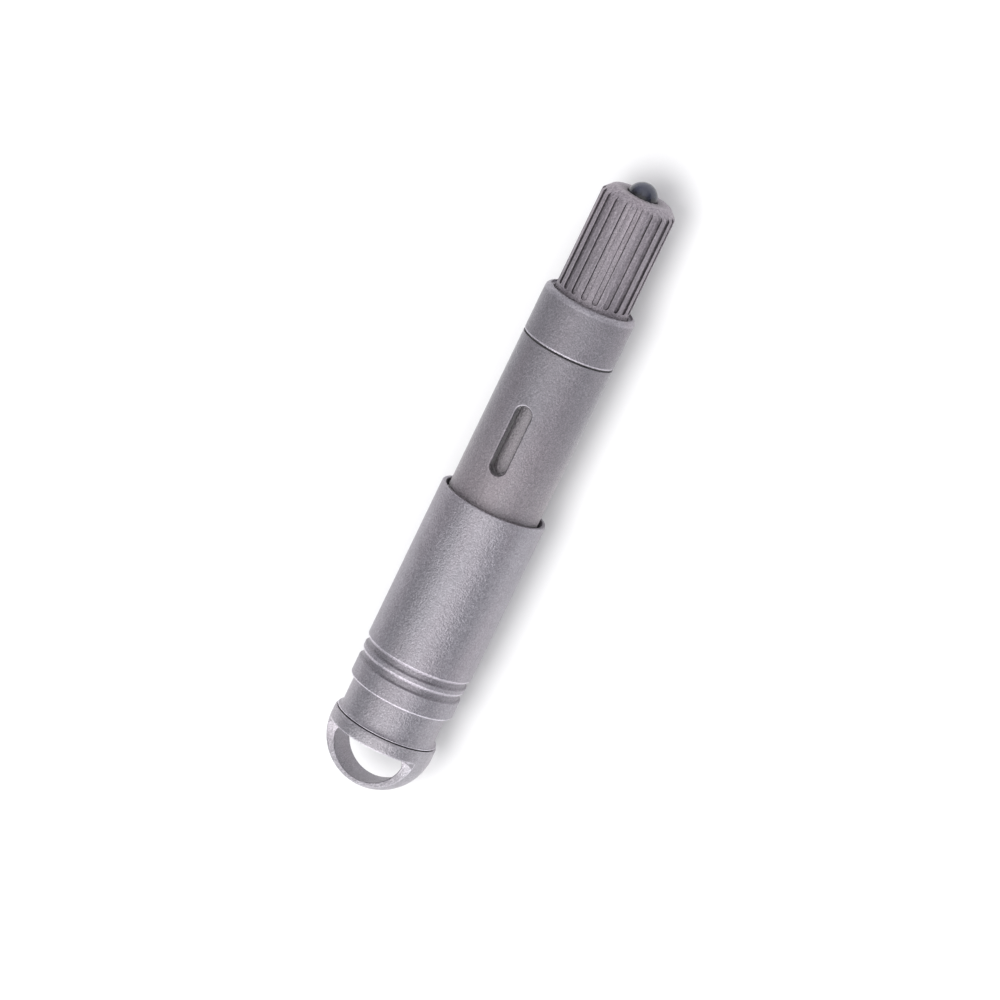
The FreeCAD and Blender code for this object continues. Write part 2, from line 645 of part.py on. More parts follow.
# Coil spring between the negative contact and the cell
helix = doc.addObject("Part::Helix", "SpringPath")
helix.setExpression("Radius", ex("spring_radius"))
helix.setExpression("Height", ex("cell_start - seat_end - 2 * spring_wire - 0.06"))
helix.setExpression("Pitch", ex("(cell_start - seat_end - 2 * spring_wire - 0.06) / spring_turns"))
helix.Visibility = False
wire = doc.addObject("Part::Circle", "SpringWire")
wire.setExpression("Radius", ex("spring_wire"))
wire.Placement = FreeCAD.Placement(V(num("spring_radius"), 0, 0), FreeCAD.Rotation(V(1, 0, 0), 90))
wire.setExpression(".Placement.Base.x", ex("spring_radius"))
wire.Visibility = False
doc.recompute()
spring = doc.addObject("Part::Sweep", "Spring")
spring.Label = "tail_spring"
spring.Sections = [wire]
spring.Spine = (helix, ["Edge%d" % (k + 1) for k in range(len(helix.Shape.Edges))])
spring.Solid = True
spring.Frenet = True
spring.Placement = FreeCAD.Placement(V(0, 0, 0), FreeCAD.Rotation(V(0, 1, 0), 90))
spring.setExpression(".Placement.Base.x", ex("seat_end + spring_wire + 0.03 - overall_length / 2"))
spring.setExpression(".Placement.Base.z", ex("axis_height"))
PARTS.append(spring)

# ---------------------------------------------------------------------------
# Head: threaded skirt in the collar, fluted grip, bevelled nose with a hole for the dome
# ---------------------------------------------------------------------------
head = turned("fluted_head", [
    ("skirt_start", "skirt_bore"),
    ("skirt_start", "skirt_radius - 0.15"),
    ("skirt_start + 0.15", "skirt_radius"),
    ("skirt_end", "skirt_radius"),
    ("skirt_end + 0.12", "head_radius"),
    ("bevel_start", "head_radius"),
    ("face_station - 0.12", "face_radius + 0.12", "0.45", 1),
    ("face_station", "face_radius - 0.18"),
    ("face_station", "nose_hole + 0.12"),
    ("face_station - 0.12", "nose_hole"),
    ("flange_step", "nose_hole"),
    ("flange_step", "flange_bore"),
    ("optic_step", "flange_bore"),
    ("optic_step", "optic_bore"),
    ("driver_step", "optic_bore"),
    ("driver_step", "driver_bore"),
    ("skirt_step", "driver_bore"),
    ("skirt_step", "skirt_bore"),
])
flute = pocket(head, "Flute", [
    ("flute_start + flute_width / 2", "flute_width / 2"),
    ("face_station + 1", "flute_width / 2"),
    ("face_station + 1", "-flute_width / 2"),
    ("flute_start + flute_width / 2", "-flute_width / 2", "flute_width / 2 + 0.0001", 1),
], "XY_Plane", "3", reversed_=True, offset="flute_floor")
smooth = head.Shape.Volume
flutes = head.newObject("PartDesign::PolarPattern", "Flutes")
flutes.Originals = [flute]
flutes.Axis = (origin_item(head, "X_Axis"), [""])
flutes.Angle = 360
flutes.setExpression("Occurrences", ex("flute_count"))
head.Tip = flutes
doc.recompute()
if smooth - head.Shape.Volume < 10:
    raise RuntimeError("the flutes were not cut")
head.Placement = FreeCAD.Placement(head.Placement.Base, FreeCAD.Rotation(V(1, 0, 0), num("flute_turn")))
head.setExpression(".Placement.Rotation.Angle", ex("flute_turn * 1 deg"))
doc.recompute()
if abs(math.degrees(head.Placement.Rotation.Angle) * head.Placement.Rotation.Axis.x - num("flute_turn")) > 1e-6:
    raise RuntimeError("the head was not turned: %s" % head.Placement)

turned("retaining_ring", [
    ("retainer_start", "retainer_bore"),
    ("retainer_start", "retainer_radius"),
    ("retainer_end", "retainer_radius"),
    ("retainer_end", "retainer_bore"),
])
turned("driver_board", [
    ("driver_start", "0"),
    ("driver_start", "driver_radius"),
    ("driver_end", "driver_radius"),
    ("driver_end", "0"),
])
turned("driver_contact", [
    ("contact_start", "0"),
    ("contact_start", "contact_radius - 0.2"),
    ("contact_start + 0.2", "contact_radius"),
    ("driver_start", "contact_radius"),
    ("driver_start", "0"),
])
turned("heat_sink", [
    ("sink_start", "0"),
    ("sink_start", "sink_radius"),
    ("sink_end", "sink_radius"),
    ("sink_end", "0"),
])
turned("led_board", [
    ("sink_end", "0"),
    ("sink_end", "led_board_radius"),
    ("led_board_end", "led_board_radius"),
    ("led_board_end", "0"),
])
# Emitter: square base with a small silicone dome
led_base = doc.addObject("Part::Box", "EmitterBase")
led_base.setExpression("Length", ex("led_base_end - led_board_end"))
led_base.setExpression("Width", ex("led_base"))
led_base.setExpression("Height", ex("led_base"))
led_base.setExpression(".Placement.Base.x", ex("led_board_end - overall_length / 2"))
led_base.setExpression(".Placement.Base.y", ex("-led_base / 2"))
led_base.setExpression(".Placement.Base.z", ex("axis_height - led_base / 2"))
led_dome = doc.addObject("Part::Sphere", "EmitterDome")
led_dome.setExpression("Radius", ex("led_dome"))
led_dome.setExpression(".Placement.Base.x", ex("led_base_end - 0.1 - overall_length / 2"))
led_dome.setExpression(".Placement.Base.z", ex("axis_height"))
dome_half = doc.addObject("Part::Box", "EmitterDomeKeep")
dome_half.Length = 3
dome_half.Width = 4
dome_half.Height = 4
dome_half.setExpression(".Placement.Base.x", ex("led_base_end - 0.1 - overall_length / 2"))
dome_half.setExpression(".Placement.Base.y", "-2")
dome_half.setExpression(".Placement.Base.z", ex("axis_height - 2"))
led_cap = doc.addObject("Part::Common", "EmitterCap")
led_cap.Base = led_dome
led_cap.Tool = dome_half
led = doc.addObject("Part::Fuse", "Emitter")
led.Label = "led_emitter"
led.Base = led_base
led.Tool = led_cap
PARTS.append(led)
for item in (led_base, led_dome, dome_half, led_cap):
    item.Visibility = False

turned("reflector", [
    ("reflector_start", "reflector_throat"),
    ("reflector_start", "reflector_radius"),
    ("reflector_end", "reflector_radius"),
    ("reflector_end", "reflector_mouth", "reflector_curve", -1),
])
turned("lens_retainer", [
    ("reflector_end", "lens_ring_bore"),
    ("reflector_end", "optic_bore - 0.05"),
    ("lens_ring_end", "optic_bore - 0.05"),
    ("lens_ring_end", "lens_ring_bore"),
])
turned("dome_lens", [
    ("flange_start", "0"),
    ("flange_start", "flange_radius"),
    ("flange_end", "flange_radius"),
    ("flange_end", "dome_radius"),
    ("overall_length - dome_radius", "dome_radius", "dome_radius", 1),
    ("overall_length", "0"),
])
seal("lens_o_ring", "flange_end + lens_seal_cord", "(flange_bore + nose_hole) / 2 - 0.02", "lens_seal_cord")

# ---------------------------------------------------------------------------
# Check and export
# ---------------------------------------------------------------------------
doc.recompute()
bad = [o.Name for o in doc.Objects if "Invalid" in o.State or "Error" in o.State]
if bad:
    raise RuntimeError("failed objects: %s" % bad)
lo = [1e9] * 3
hi = [-1e9] * 3
for obj in PARTS:
    shape = obj.Shape
    if shape.isNull() or not shape.isValid():
        raise RuntimeError("bad shape: %s" % obj.Label)
    if shape.Volume <= 0 or len(shape.Solids) != 1:
        raise RuntimeError("%s: %d solids, volume %g" % (obj.Label, len(shape.Solids), shape.Volume))
    box = shape.BoundBox
    lo = [min(a, b) for a, b in zip(lo, (box.XMin, box.YMin, box.ZMin))]
    hi = [max(a, b) for a, b in zip(hi, (box.XMax, box.YMax, box.ZMax))]
for obj in PARTS:
    obj.Shape.exportStep("parts/%s.step" % obj.Label)
    print("%-20s %9.3f mm3" % (obj.Label, obj.Shape.Volume))
print("pieces", len(PARTS))
print("box", [round(v, 3) for v in lo], [round(v, 3) for v in hi])
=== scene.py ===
"""Pocket examination penlight in bead-blasted titanium, lying on a pale studio floor.

Sleeve, neck, barrel, collar, head and glass dome are rebuilt here as dense quad meshes with
rounded corners, each in the place that its CAD node holds, and the spring as a coil of wire. The
bow, the tube behind the slot and everything else inside keep their CAD mesh and get a procedural
finish. Lengths below are millimetres along the light's axis from the bow's end, and become
metres in the row frame in put().
"""

import math

import bpy
import numpy as np
from mathutils import Matrix, Vector


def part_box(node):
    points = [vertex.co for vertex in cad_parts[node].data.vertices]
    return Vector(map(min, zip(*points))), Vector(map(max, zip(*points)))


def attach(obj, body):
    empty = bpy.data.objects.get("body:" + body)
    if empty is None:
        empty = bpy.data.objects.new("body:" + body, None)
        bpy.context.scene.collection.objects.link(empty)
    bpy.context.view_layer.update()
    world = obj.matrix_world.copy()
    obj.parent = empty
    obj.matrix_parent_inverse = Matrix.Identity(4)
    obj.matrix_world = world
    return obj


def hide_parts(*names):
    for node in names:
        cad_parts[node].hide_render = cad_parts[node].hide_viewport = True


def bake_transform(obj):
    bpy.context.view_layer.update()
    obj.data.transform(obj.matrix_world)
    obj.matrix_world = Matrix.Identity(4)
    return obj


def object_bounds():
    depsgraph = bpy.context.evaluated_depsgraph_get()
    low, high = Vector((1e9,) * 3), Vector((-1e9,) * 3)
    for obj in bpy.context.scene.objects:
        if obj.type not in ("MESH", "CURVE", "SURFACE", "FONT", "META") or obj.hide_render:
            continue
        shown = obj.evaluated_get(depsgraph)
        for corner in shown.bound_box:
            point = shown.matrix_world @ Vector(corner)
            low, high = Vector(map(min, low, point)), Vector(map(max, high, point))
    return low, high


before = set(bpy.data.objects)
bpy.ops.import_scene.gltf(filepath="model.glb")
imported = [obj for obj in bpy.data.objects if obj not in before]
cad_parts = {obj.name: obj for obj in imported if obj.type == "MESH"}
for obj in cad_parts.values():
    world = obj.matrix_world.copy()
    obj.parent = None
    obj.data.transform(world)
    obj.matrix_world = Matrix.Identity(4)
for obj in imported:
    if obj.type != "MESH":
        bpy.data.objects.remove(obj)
cad_lo, cad_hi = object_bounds()
scene = bpy.context.scene

# ---------------------------------------------------------------------------
# Where things are: all of it from the CAD nodes' boxes
# ---------------------------------------------------------------------------
MM = 0.001
BOX = {n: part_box(n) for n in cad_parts}
BOW_END = BOX["lanyard_bow"][0].x  # station 0
AXIS_Y = (BOX["outer_sleeve"][0].y + BOX["outer_sleeve"][1].y) / 2
AXIS_Z = (BOX["outer_sleeve"][0].z + BOX["outer_sleeve"][1].z) / 2


def start_of(node):
    return (BOX[node][0].x - BOW_END) / MM


def end_of(node):
    return (BOX[node][1].x - BOW_END) / MM


def radius_of(node):
    return (BOX[node][1].y - BOX[node][0].y) / 2 / MM


def put(station, radius, theta):
    """Row-frame point from a station and radius in mm. Theta is from +Z towards -Y."""
    return (BOW_END + station * MM, AXIS_Y - radius * math.sin(theta) * MM, AXIS_Z + radius * math.cos(theta) * MM)


# ---------------------------------------------------------------------------
# Profiles
# ---------------------------------------------------------------------------
def arc(cx, cr, rad, a0, a1, n):
    """Points of an arc in the profile plane, angles in degrees from +station towards +radius."""
    return [(cx + rad * math.cos(math.radians(a0 + (a1 - a0) * k / n)), cr + rad * math.sin(math.radians(a0 + (a1 - a0) * k / n))) for k in range(n + 1)]


def dense(corners, closed=True, step=1.5, guard=0.05, fine=6):
    """A profile's points with rounded corners, guard points beside each corner so that smooth
    shading stays on the corner, and long runs divided. A corner is (station, radius, round, mark).
    Returns a list of (station, radius, edge): edge is the corner's own mark, or 1 on a convex
    corner and -1 on a hollow one, and runs between two marks blend from one to the other."""
    n = len(corners)
    rows = []
    area = 0.0
    for i in range(n):
        a, b = corners[i], corners[(i + 1) % n]
        area += a[0] * b[1] - b[0] * a[1]
    turn = 1.0 if area > 0 else -1.0
    ends = []  # (entry point, exit point, arc points) of each corner
    for i in range(n):
        p = np.array(corners[i][:2], float)
        rnd = corners[i][2] if len(corners[i]) > 2 else 0.0
        if rnd <= 0 or (not closed and i in (0, n - 1)):
            ends.append((p, p, [], 0.0))
            continue
        a = np.array(corners[i - 1][:2], float)
        b = np.array(corners[(i + 1) % n][:2], float)
        u, w = a - p, b - p
        lu, lw = np.linalg.norm(u), np.linalg.norm(w)
        u, w = u / lu, w / lw
        cosang = float(np.clip(u @ w, -1, 1))
        ang = math.acos(cosang)
        if math.pi - ang < 0.02:
            ends.append((p, p, [], 0.0))
            continue
        t = min(rnd / math.tan(ang / 2), 0.45 * lu, 0.45 * lw)
        rad = t * math.tan(ang / 2)
        bis = (u + w) / np.linalg.norm(u + w)
        c = p + bis * (rad / math.sin(ang / 2))
        s, e = p + u * t, p + w * t
        a0 = math.atan2(s[1] - c[1], s[0] - c[0])
        a1 = math.atan2(e[1] - c[1], e[0] - c[0])
        d = (a1 - a0 + math.pi) % (2 * math.pi) - math.pi
        pts = [c + rad * np.array([math.cos(a0 + d * k / fine), math.sin(a0 + d * k / fine)]) for k in range(1, fine)]
        cross = (-u[0]) * w[1] - (-u[1]) * w[0]
        ends.append((s, e, pts, 1.0 if cross * turn > 0 else -1.0))
    own = [c[3] if len(c) > 3 else None for c in corners]
    ends = [(s, e, pts, kind if mark is None else mark) for (s, e, pts, kind), mark in zip(ends, own)]
    last = n if closed else n - 1
    for i in range(n):
        s, e, pts, kind = ends[i]
        rows.append((s[0], s[1], kind))
        for q in pts:
            rows.append((q[0], q[1], kind))
        if pts:
            rows.append((e[0], e[1], kind))
        if i >= last:
            break
        nxt = ends[(i + 1) % n]
        d = nxt[0] - e
        length = float(np.linalg.norm(d))
        if length < 3 * guard:
            continue
        at = []
        if kind != 0 or len(corners[i]) > 2:
            at.append(guard / length)
        if nxt[3] != 0 or len(corners[(i + 1) % n]) > 2:
            at.append(1 - guard / length)
        count = int(length / step)
        at += [k / (count + 1) for k in range(1, count + 1)]
        both = own[i] is not None and own[(i + 1) % n] is not None
        for f in sorted(set(at)):
            q = e + d * f
            rows.append((q[0], q[1], own[i] + (own[(i + 1) % n] - own[i]) * f if both else 0.0))
    return rows


# ---------------------------------------------------------------------------
# Meshes
# ---------------------------------------------------------------------------
def build(name, verts, faces, edge, body, stands_for, material):
    """A smooth-shaded mesh of used vertices only, riding on its CAD body."""
    used = sorted({i for f in faces for i in f})
    where = {i: k for k, i in enumerate(used)}
    mesh = bpy.data.meshes.new(name)
    mesh.from_pydata([verts[i] for i in used], [], [tuple(where[i] for i in f) for f in faces])
    mesh.validate()
    mesh.attributes.new("edge", "FLOAT", "POINT").data.foreach_set("value", np.array([edge[i] for i in used], np.float32))
    mesh.polygons.foreach_set("use_smooth", [True] * len(mesh.polygons))
    mesh.update()
    obj = bpy.data.objects.new(name, mesh)
    scene.collection.objects.link(obj)
    mesh.materials.append(material)
    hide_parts(*stands_for)
    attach(obj, body)
    return obj


def face_out(verts, faces):
    """Turns every face the other way if the closed mesh encloses a negative volume."""
    v = np.array(verts, float)
    total = 0.0
    for f in faces:
        a = v[f[0]]
        for k in range(1, len(f) - 1):
            total += float(np.dot(a, np.cross(v[f[k]], v[f[k + 1]])))
    return faces if total > 0 else [tuple(reversed(f)) for f in faces]


def lathe(name, rows, body, stands_for, material, around=192, closed=True):
    """A turned piece. Rows on the axis become a single pole vertex."""
    verts, edge, index = [], [], []
    for x, r, e in rows:
        if r < 1e-4:
            index.append([len(verts)] * around)
            verts.append(put(x, 0, 0))
            edge.append(e)
            continue
        index.append(list(range(len(verts), len(verts) + around)))
        for j in range(around):
            verts.append(put(x, r, 2 * math.pi * j / around))
            edge.append(e)
    faces = []
    n = len(rows)
    for i in range(n if closed else n - 1):
        a, b = index[i], index[(i + 1) % n]
        for j in range(around):
            k = (j + 1) % around
            quad = [a[j], a[k], b[k], b[j]]
            quad = [q for m, q in enumerate(quad) if q != quad[m - 1]]
            if len(quad) > 2:
                faces.append(tuple(quad))
    return build(name, verts, face_out(verts, faces), edge, body, stands_for, material)


# ---------------------------------------------------------------------------
# Finishes
# ---------------------------------------------------------------------------
class Nodes:
    """Short hand for one material's node tree."""

    def __init__(self, name):
        self.mat = bpy.data.materials.new(name)
        self.mat.use_nodes = True
        self.tree = self.mat.node_tree
        self.tree.nodes.clear()
        self.out = self.add("ShaderNodeOutputMaterial")
        self.bsdf = self.add("ShaderNodeBsdfPrincipled")
        self.link(self.bsdf.outputs["BSDF"], self.out.inputs["Surface"])
        self.coords = self.add("ShaderNodeTexCoord").outputs["Object"]

    def add(self, kind, **settings):
        node = self.tree.nodes.new(kind)
        for key, value in settings.items():
            setattr(node, key, value)
        return node

    def link(self, a, b):
        self.tree.links.new(a, b)

    def noise(self, scale, detail=3.0, rough=0.5, coords=None, distortion=0.0):
        node = self.add("ShaderNodeTexNoise")
        node.inputs["Scale"].default_value = scale
        node.inputs["Detail"].default_value = detail
        node.inputs["Roughness"].default_value = rough
        node.inputs["Distortion"].default_value = distortion
        self.link(coords or self.coords, node.inputs["Vector"])
        return node.outputs["Fac"]

    def stretched(self, x, y, z):
        node = self.add("ShaderNodeMapping")
        node.inputs["Scale"].default_value = (x, y, z)
        self.link(self.coords, node.inputs["Vector"])
        return node.outputs["Vector"]

    def voronoi(self, scale, feature="F1", coords=None, jitter=1.0):
        node = self.add("ShaderNodeTexVoronoi", feature=feature)
        node.inputs["Scale"].default_value = scale
        node.inputs["Randomness"].default_value = jitter
        self.link(coords or self.coords, node.inputs["Vector"])
        return node.outputs["Distance"]

    def math(self, op, a, b=None, clamp=False):
        node = self.add("ShaderNodeMath", operation=op, use_clamp=clamp)
        for socket, value in zip(node.inputs, (a, b)):
            if value is None:
                continue
            if isinstance(value, (int, float)):
                socket.default_value = value
            else:
                self.link(value, socket)
        return node.outputs[0]

    def remap(self, value, lo, hi, to_lo, to_hi):
        node = self.add("ShaderNodeMapRange")
        self.link(value, node.inputs["Value"])
        for key, number in (("From Min", lo), ("From Max", hi), ("To Min", to_lo), ("To Max", to_hi)):
            node.inputs[key].default_value = number
        return node.outputs["Result"]

    def ramp(self, value, stops):
        node = self.add("ShaderNodeValToRGB")
        items = node.color_ramp.elements
        while len(items) < len(stops):
            items.new(0.5)
        for item, (at, colour) in zip(items, stops):
            item.position = at
            item.color = (*colour, 1.0) if len(colour) == 3 else colour
        self.link(value, node.inputs["Fac"])
        return node.outputs["Color"]

    def mix(self, factor, a, b, blend="MIX"):
        node = self.add("ShaderNodeMix", data_type="RGBA", blend_type=blend)
        for socket, value in ((node.inputs[0], factor), (node.inputs[6], a), (node.inputs[7], b)):
            if isinstance(value, (int, float)):
                socket.default_value = value
            elif isinstance(value, (tuple, list)):
                socket.default_value = (*value, 1.0)
            else:
                self.link(value, socket)
        return node.outputs[2]

    def attribute(self, name):
        return self.add("ShaderNodeAttribute", attribute_name=name).outputs["Fac"]

    def bump(self, height, strength, distance, normal=None):
        node = self.add("ShaderNodeBump")
        node.inputs["Strength"].default_value = strength
        node.inputs["Distance"].default_value = distance
        self.link(height, node.inputs["Height"])
        if normal is not None:
            self.link(normal, node.inputs["Normal"])
        return node.outputs["Normal"]

    def set(self, **values):
        for key, value in values.items():
            socket = self.bsdf.inputs[key.replace("_", " ")]
            if isinstance(value, (int, float)):
                socket.default_value = value
            elif isinstance(value, (tuple, list)):
                socket.default_value = (*value, 1.0) if len(value) == 3 and socket.type == "RGBA" else value
            else:
                self.link(value, socket)
        return self


def titanium(name, tint, rough=0.5, grain=0.13, pits=1.0, mottle=0.018, wear_and_highlight=0.42, hollow_shade=0.30, attribute=True, along=None, flats=False, brushed=0.0, sheen=0.0):
    """Bead-blasted titanium: fine dimples with a sparkle of brighter and darker grains, slow
    mottling of the oxide, edges lightened as rubbed metal with a painted highlight, and hollows
    darkened with painted shade. Along is (from, to, tint): the colour drifts to that tint between
    two stations. Flats brightens the machined faces either side of the bow's eye, with a painted highlight
    that grows towards the ring and a painted highlight line along the ring's lower edge. Brushed adds
    streaks along the axis, and sheen is the light that the blasted grain throws back at a grazing angle."""
    m = Nodes(name)
    fine = m.noise(5200, 2.0, 0.6)
    grit = m.noise(3000, 2.0, 0.6)
    dimple = m.voronoi(3300)
    cloud = m.noise(240, 4.0, 0.6)
    broad = m.noise(38, 3.0, 0.5)
    smear = m.noise(300, 3.0, 0.5, coords=m.stretched(0.25, 1.0, 1.0))
    split = m.add("ShaderNodeSeparateXYZ")
    m.link(m.coords, split.inputs["Vector"])
    value = m.math("ADD", m.remap(grit, 0.3, 0.7, -grain * 0.7, grain * 0.7), m.remap(fine, 0.3, 0.7, -grain, grain))
    value = m.math("ADD", value, m.remap(cloud, 0.3, 0.7, -mottle, mottle))
    value = m.math("ADD", value, m.remap(broad, 0.3, 0.7, -mottle, mottle))
    value = m.math("ADD", value, m.remap(smear, 0.3, 0.7, -mottle * 0.7, mottle * 0.7))
    if brushed:
        value = m.math("ADD", value, m.remap(m.noise(2600, 2.0, 0.5, coords=m.stretched(0.05, 1.0, 1.0)), 0.3, 0.7, -brushed, brushed))
    rub_and_highlight = None
    # convex edge marks lighten the colour as rubbed metal with a painted highlight; hollow marks darken it with painted
    # shade
    if attribute:
        edge = m.attribute("edge")
        rub_and_highlight = m.math("MULTIPLY", m.math("MAXIMUM", edge, 0.0), m.remap(grit, 0.3, 0.7, 0.7, 1.1))
        sunk_shade = m.math("MAXIMUM", m.math("MULTIPLY", edge, -1.0), 0.0)
        value = m.math("ADD", value, m.math("MULTIPLY", rub_and_highlight, wear_and_highlight))
        value = m.math("SUBTRACT", value, m.math("MULTIPLY", sunk_shade, hollow_shade))
    if flats:
        # painted highlight: the machined faces lighten more and more towards the ring, and a painted highlight line
        # runs along the ring's lower edge
        station = m.math("ADD", split.outputs["X"], m.remap(grit, 0.3, 0.7, -0.0001, 0.0001))
        high = m.math("ABSOLUTE", m.math("SUBTRACT", split.outputs["Z"], AXIS_Z))
        highlight_near_ring = m.math("MULTIPLY", m.remap(station, BOW_END + 4.6 * MM, BOW_END + 7.6 * MM, 0.12, 1.0), m.remap(station, BOW_END + 8.30 * MM, BOW_END + 8.42 * MM, 1.0, 0.0))
        face = m.math("MULTIPLY", m.remap(high, 0.00362, 0.00368, 0.0, 1.0), m.remap(high, 0.00372, 0.00380, 1.0, 0.0))
        milled_and_highlight = m.math("MULTIPLY", face, highlight_near_ring)
        ring_edge_highlight = m.math("MULTIPLY", m.remap(station, BOW_END + 8.22 * MM, BOW_END + 8.38 * MM, 0.0, 1.0), m.remap(station, BOW_END + 8.5 * MM, BOW_END + 8.66 * MM, 1.0, 0.0))
        ring_edge_highlight = m.math("MULTIPLY", ring_edge_highlight, m.remap(high, 0.0038, 0.0048, 0.0, 0.8))
        rub_and_highlight = m.math("MAXIMUM", m.math("MULTIPLY", milled_and_highlight, 0.72), ring_edge_highlight)
        value = m.math("ADD", value, m.math("MULTIPLY", rub_and_highlight, wear_and_highlight))
    dark = tuple(c * 0.25 for c in tint)
    light = tuple(min(1.0, c * 2.2) for c in tint)
    base = m.ramp(m.math("ADD", value, 0.5, clamp=True), [(0.0, dark), (0.5, tint), (1.0, light)])
    # the colour drifts to the given darker tint between the two stations
    if along:
        place = m.math("ADD", split.outputs["X"], m.remap(cloud, 0.3, 0.7, -0.0012, 0.0012))
        x0, x1 = BOW_END + along[0] * MM, BOW_END + along[1] * MM
        shift = tuple(a / b for a, b in zip(along[2], tint))
        drift = m.mix(m.remap(place, x0, x1, 0.0, 1.0), (1.0, 1.0, 1.0), shift)
        base = m.mix(1.0, base, drift, "MULTIPLY")
    tinge = m.noise(210, 2.0, 0.5, coords=m.stretched(0.22, 1.0, 1.0))
    base = m.mix(m.remap(tinge, 0.40, 0.66, 0.0, 0.9), base, m.mix(1.0, base, (1.022, 0.990, 0.994), "MULTIPLY"))
    roughness = m.math("ADD", m.remap(broad, 0.3, 0.7, rough - 0.03, rough + 0.03), m.remap(grit, 0.3, 0.7, -0.05, 0.05))
    if rub_and_highlight is not None:
        roughness = m.math("SUBTRACT", roughness, m.math("MULTIPLY", rub_and_highlight, 0.10))
    height = m.math("ADD", m.math("MULTIPLY", dimple, 0.6), m.math("ADD", grit, m.math("MULTIPLY", fine, 0.5)))
    normal = m.bump(height, pits, 0.00008)
    m.set(Base_Color=base, Roughness=roughness, Normal=normal, Metallic=1.0, Sheen_Weight=sheen, Sheen_Roughness=0.3)
    return m.mat


TI_SLEEVE = titanium("blasted_titanium_sleeve", (0.348, 0.335, 0.367), rough=0.46)
TI_CAP = titanium("blasted_titanium_tail_cap", (0.362, 0.349, 0.380), rough=0.44)
TI_BOW = titanium("blasted_titanium_bow", (0.385, 0.371, 0.400), rough=0.42, attribute=False, flats=True)
TI_BARREL = titanium("blasted_titanium_barrel", (0.343, 0.320, 0.342), rough=0.61, along=(55.0, 70.0, (0.286, 0.275, 0.300)), sheen=0.40)
TI_COLLAR = titanium("blasted_titanium_collar", (0.282, 0.270, 0.296), rough=0.61, sheen=0.28)
# the head's flutes and front bore take a stronger painted shade
TI_HEAD = titanium("blasted_titanium_head", (0.325, 0.298, 0.326), rough=0.60, hollow_shade=0.50, brushed=0.09, sheen=0.15)
TI_INNER = titanium("blasted_titanium_inner", (0.22, 0.21, 0.225), rough=0.5, attribute=False)
TI_LINER = titanium("blasted_titanium_liner", (0.325, 0.306, 0.325), rough=0.52, attribute=False)

# ---------------------------------------------------------------------------
# Glass dome
# ---------------------------------------------------------------------------
m = Nodes("smoked_glass")
cloud = m.noise(900, 3.0, 0.6)
speck = m.noise(2600, 2.0, 0.6)
split = m.add("ShaderNodeSeparateXYZ")
m.link(m.coords, split.inputs["Vector"])
# painted shade: the colour is near black where the dome goes into the head and grows lighter towards its tip
height = m.remap(split.outputs["X"], BOW_END + 106.3 * MM, BOW_END + 108.4 * MM, 0.0, 1.0)
height = m.math("ADD", height, m.remap(speck, 0.3, 0.7, -0.12, 0.12))
dome_shade = m.ramp(height, [(0.0, (0.002, 0.002, 0.003)), (0.26, (0.006, 0.006, 0.010)), (0.46, (0.040, 0.043, 0.066)), (1.0, (0.056, 0.060, 0.092))])
m.set(
    Base_Color=m.mix(m.remap(cloud, 0.35, 0.65, 0.0, 0.5), dome_shade, (0.024, 0.025, 0.040)),
    Roughness=m.remap(speck, 0.3, 0.7, 0.16, 0.26),
    IOR=1.46,
    Coat_Weight=0.25,
    Coat_Roughness=0.06,
    Normal=m.bump(cloud, 0.06, 0.0001),
)
GLASS = m.mat


# ---------------------------------------------------------------------------
# Sleeve, tail cap, collar, dome
# ---------------------------------------------------------------------------
SLEEVE_A, SLEEVE_B = start_of("outer_sleeve"), end_of("outer_sleeve")
GRIP = radius_of("outer_sleeve") - 0.002
LOW = GRIP - 0.15


def hollow(x0, r0, x1, r1, rad, n=14):
    """Arc that dips below the chord between two rim points, as a round-nosed tool leaves it."""
    p, q = np.array([x0, r0]), np.array([x1, r1])
    mid, d = (p + q) / 2, q - p
    half = np.linalg.norm(d) / 2
    nrm = np.array([-d[1], d[0]]) / (2 * half)
    c = mid + nrm * math.sqrt(rad * rad - half * half)
    a0 = math.atan2(p[1] - c[1], p[0] - c[0])
    a1 = math.atan2(q[1] - c[1], q[0] - c[0])
    d = (a1 - a0 + math.pi) % (2 * math.pi) - math.pi
    return [(c[0] + rad * math.cos(a0 + d * k / n), c[1] + rad * math.sin(a0 + d * k / n)) for k in range(1, n)]


g = SLEEVE_A
# the fourth number is an edge mark: plus marks lighten the bottom edge and the grooves' rims as rubbed metal with a
# painted highlight, minus marks darken the grooves with painted shade
sleeve = [
    (g, 7.4),
    (g, LOW - 0.13, 0.03, 0.9),
    (g + 0.22, LOW, 0.04, 1.0),
    (g + 0.29, LOW, 0.0, 0.0),
    (g + 3.02, LOW, 0.0, 0.0),
    (g + 3.12, LOW, 0.08, -0.2),
    (g + 3.40, LOW - 0.37, 0.2, -0.5),
    (g + 4.16, LOW - 0.37, 0.2, -0.3),
    (g + 4.44, LOW - 0.20, 0.0, 0.7),
    (g + 4.74, LOW, 0.12, 1.0),
    (g + 4.9, LOW, 0.0, 0.0),
    (g + 5.38, LOW, 0.0, 0.0),
    (g + 5.48, LOW, 0.08, -0.2),
    (g + 5.76, LOW - 0.35, 0.2, -0.5),
    (g + 6.38, LOW - 0.35, 0.2, -0.3),
    (g + 6.66, LOW - 0.14, 0.0, 0.7),
    (g + 7.02, GRIP, 0.14, 1.0),
    (g + 7.18, GRIP, 0.0, 0.0),
    (SLEEVE_B - 0.5, GRIP, 0.0, 0.0),
    (SLEEVE_B, GRIP, 0.35, 0.05),
    (SLEEVE_B, 8.47, 0.04, 0.05),
    (SLEEVE_B - 0.12, 8.35, 0.04, 0.0),
    (g + 8.1, 8.35),
    (g + 8.1, 7.4),
]
lathe("outer_sleeve_shell", dense(sleeve), "sleeve", ["outer_sleeve"], TI_SLEEVE)

